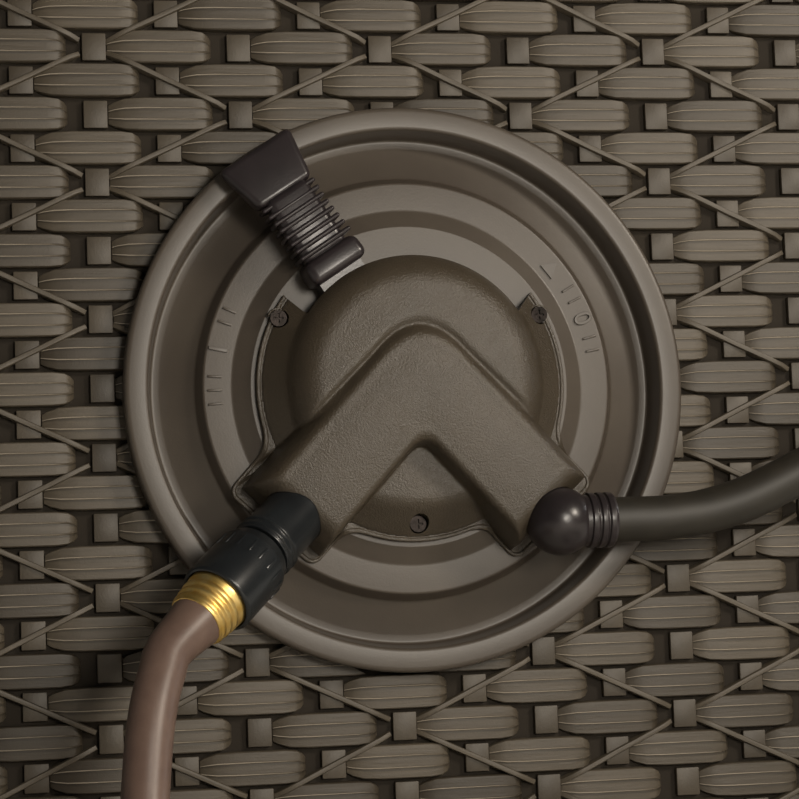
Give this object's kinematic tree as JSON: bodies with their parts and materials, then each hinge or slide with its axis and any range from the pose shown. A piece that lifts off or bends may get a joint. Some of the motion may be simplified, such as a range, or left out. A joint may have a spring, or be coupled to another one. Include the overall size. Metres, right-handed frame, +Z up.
{
  "type": "hose reel",
  "caption": "Floor-standing garden hose reel cabinet in woven-look resin, with a round valve dish, selector lever, supply and drain hoses, and a water-driven drum inside.",
  "frame": {"origin": "centre of the cabinet's base on the floor", "axes": "+Z up, the control side with the valve dish faces -Y, the hose leaves the window at +X, the lid is hinged at -X"},
  "size_m": [0.7659, 0.8736, 0.553],
  "materials": {
    "woven_resin": "woven strips, matt",
    "brown_resin": "smooth satin",
    "trim_resin": "fine grain",
    "cover_resin": "pebble grain",
    "black_gloss": "glossy",
    "black_matt": "matt",
    "pale_plastic": "plain",
    "steel": "brushed",
    "dark_screw": "dark",
    "brass": "polished",
    "rubber": "matt",
    "brown_hose": "satin",
    "olive_hose": "glossy",
    "aluminium": "anodised"
  },
  "bodies": {
    "cabinet": {"base_tray": "trim_resin", "post_control_rear": "trim_resin", "post_control_front": "trim_resin", "post_far_front": "trim_resin", "post_far_rear": "trim_resin", "control_panel": "woven_resin", "far_panel": "woven_resin", "rear_panel": "woven_resin", "front_lower_panel": "woven_resin", "front_upper_panel": "woven_resin", "window_frame": "trim_resin", "lid_hinge_pins": "steel", "lid_hinge_brackets": "black_matt", "valve_dish": "brown_resin", "valve_cover": "cover_resin", "cover_screws": "dark_screw", "valve_body": "black_matt", "inlet_stub": "black_gloss", "inlet_washer": "rubber", "supply_ferrule": "brass", "supply_hose_run": "brown_hose", "supply_hose_coil": "brown_hose", "tap_tail": "brass", "drain_elbow": "black_gloss", "drain_hose_run": "olive_hose", "drain_hose_coil": "olive_hose", "motor_housing": "black_matt", "gear_post": "steel", "drum_axle": "aluminium", "axle_bracket": "black_matt", "guide_rod_lower": "steel", "guide_rod_upper": "steel"},
    "lid": {"lid_shell": "trim_resin"},
    "lever": {"lever_arm": "black_matt", "lever_grip": "black_matt", "valve_spindle": "brass"},
    "nut": {"inlet_nut": "black_matt"},
    "tap": {"tap_coupling": "brass"},
    "drum": {"drum_gear": "pale_plastic", "drum_front_flange": "black_matt", "drum_core": "black_matt", "drum_rear_flange": "black_matt", "drum_hose_elbow": "black_matt", "axle_bush_front": "pale_plastic", "axle_bush_rear": "pale_plastic"},
    "middle": {"middle_gear": "pale_plastic"},
    "turbine": {"turbine_wheel": "pale_plastic", "turbine_pinion": "pale_plastic"},
    "guide": {"guide_carriage": "black_matt"},
    "roller_left": {"guide_roller_left": "pale_plastic"},
    "roller_right": {"guide_roller_right": "pale_plastic"}
  },
  "joints": [
    {"name": "lid_hinge", "type": "hinge", "parent": "cabinet", "child": "lid", "pos_m": [-0.298, 0, 0.509], "axis": [0, -1, 0], "range_deg": [0, 100]},
    {"name": "lever_turn", "type": "hinge", "parent": "cabinet", "child": "lever", "pos_m": [0, -0.279, 0.278], "axis": [0, 1, 0], "range_deg": [0, 65]},
    {"name": "inlet_nut_spin", "type": "hinge", "parent": "cabinet", "child": "nut", "pos_m": [-0.066, -0.292, 0.212], "axis": [-0.6252, -0.5299, -0.5729], "continuous": true},
    {"name": "tap_spin", "type": "hinge", "parent": "cabinet", "child": "tap", "pos_m": [-0.1982, -0.49992, 0.0385], "axis": [0.0859, -0.9963, 0], "continuous": true},
    {"name": "drum_spin", "type": "hinge", "parent": "cabinet", "child": "drum", "pos_m": [0, 0, 0.278], "axis": [0, 1, 0], "continuous": true},
    {"name": "middle_gear_spin", "type": "hinge", "parent": "cabinet", "child": "middle", "pos_m": [-0.06364, -0.2, 0.34164], "axis": [0, 1, 0], "continuous": true},
    {"name": "turbine_spin", "type": "hinge", "parent": "cabinet", "child": "turbine", "pos_m": [-0.09016, -0.2, 0.36816], "axis": [0, 1, 0], "continuous": true},
    {"name": "guide_slide", "type": "slide", "parent": "cabinet", "child": "guide", "axis": [0, 1, 0], "range_m": [-0.18, 0.18]},
    {"name": "roller_left_spin", "type": "hinge", "parent": "guide", "child": "roller_left", "pos_m": [0.266, -0.017, 0.341], "axis": [0, 0, 1], "continuous": true},
    {"name": "roller_right_spin", "type": "hinge", "parent": "guide", "child": "roller_right", "pos_m": [0.266, 0.017, 0.341], "axis": [0, 0, 1], "continuous": true}
  ],
  "couplings": [
    {"joint": "middle_gear_spin", "follows": "drum_spin", "ratio": -5},
    {"joint": "turbine_spin", "follows": "drum_spin", "ratio": 20}
  ]
}
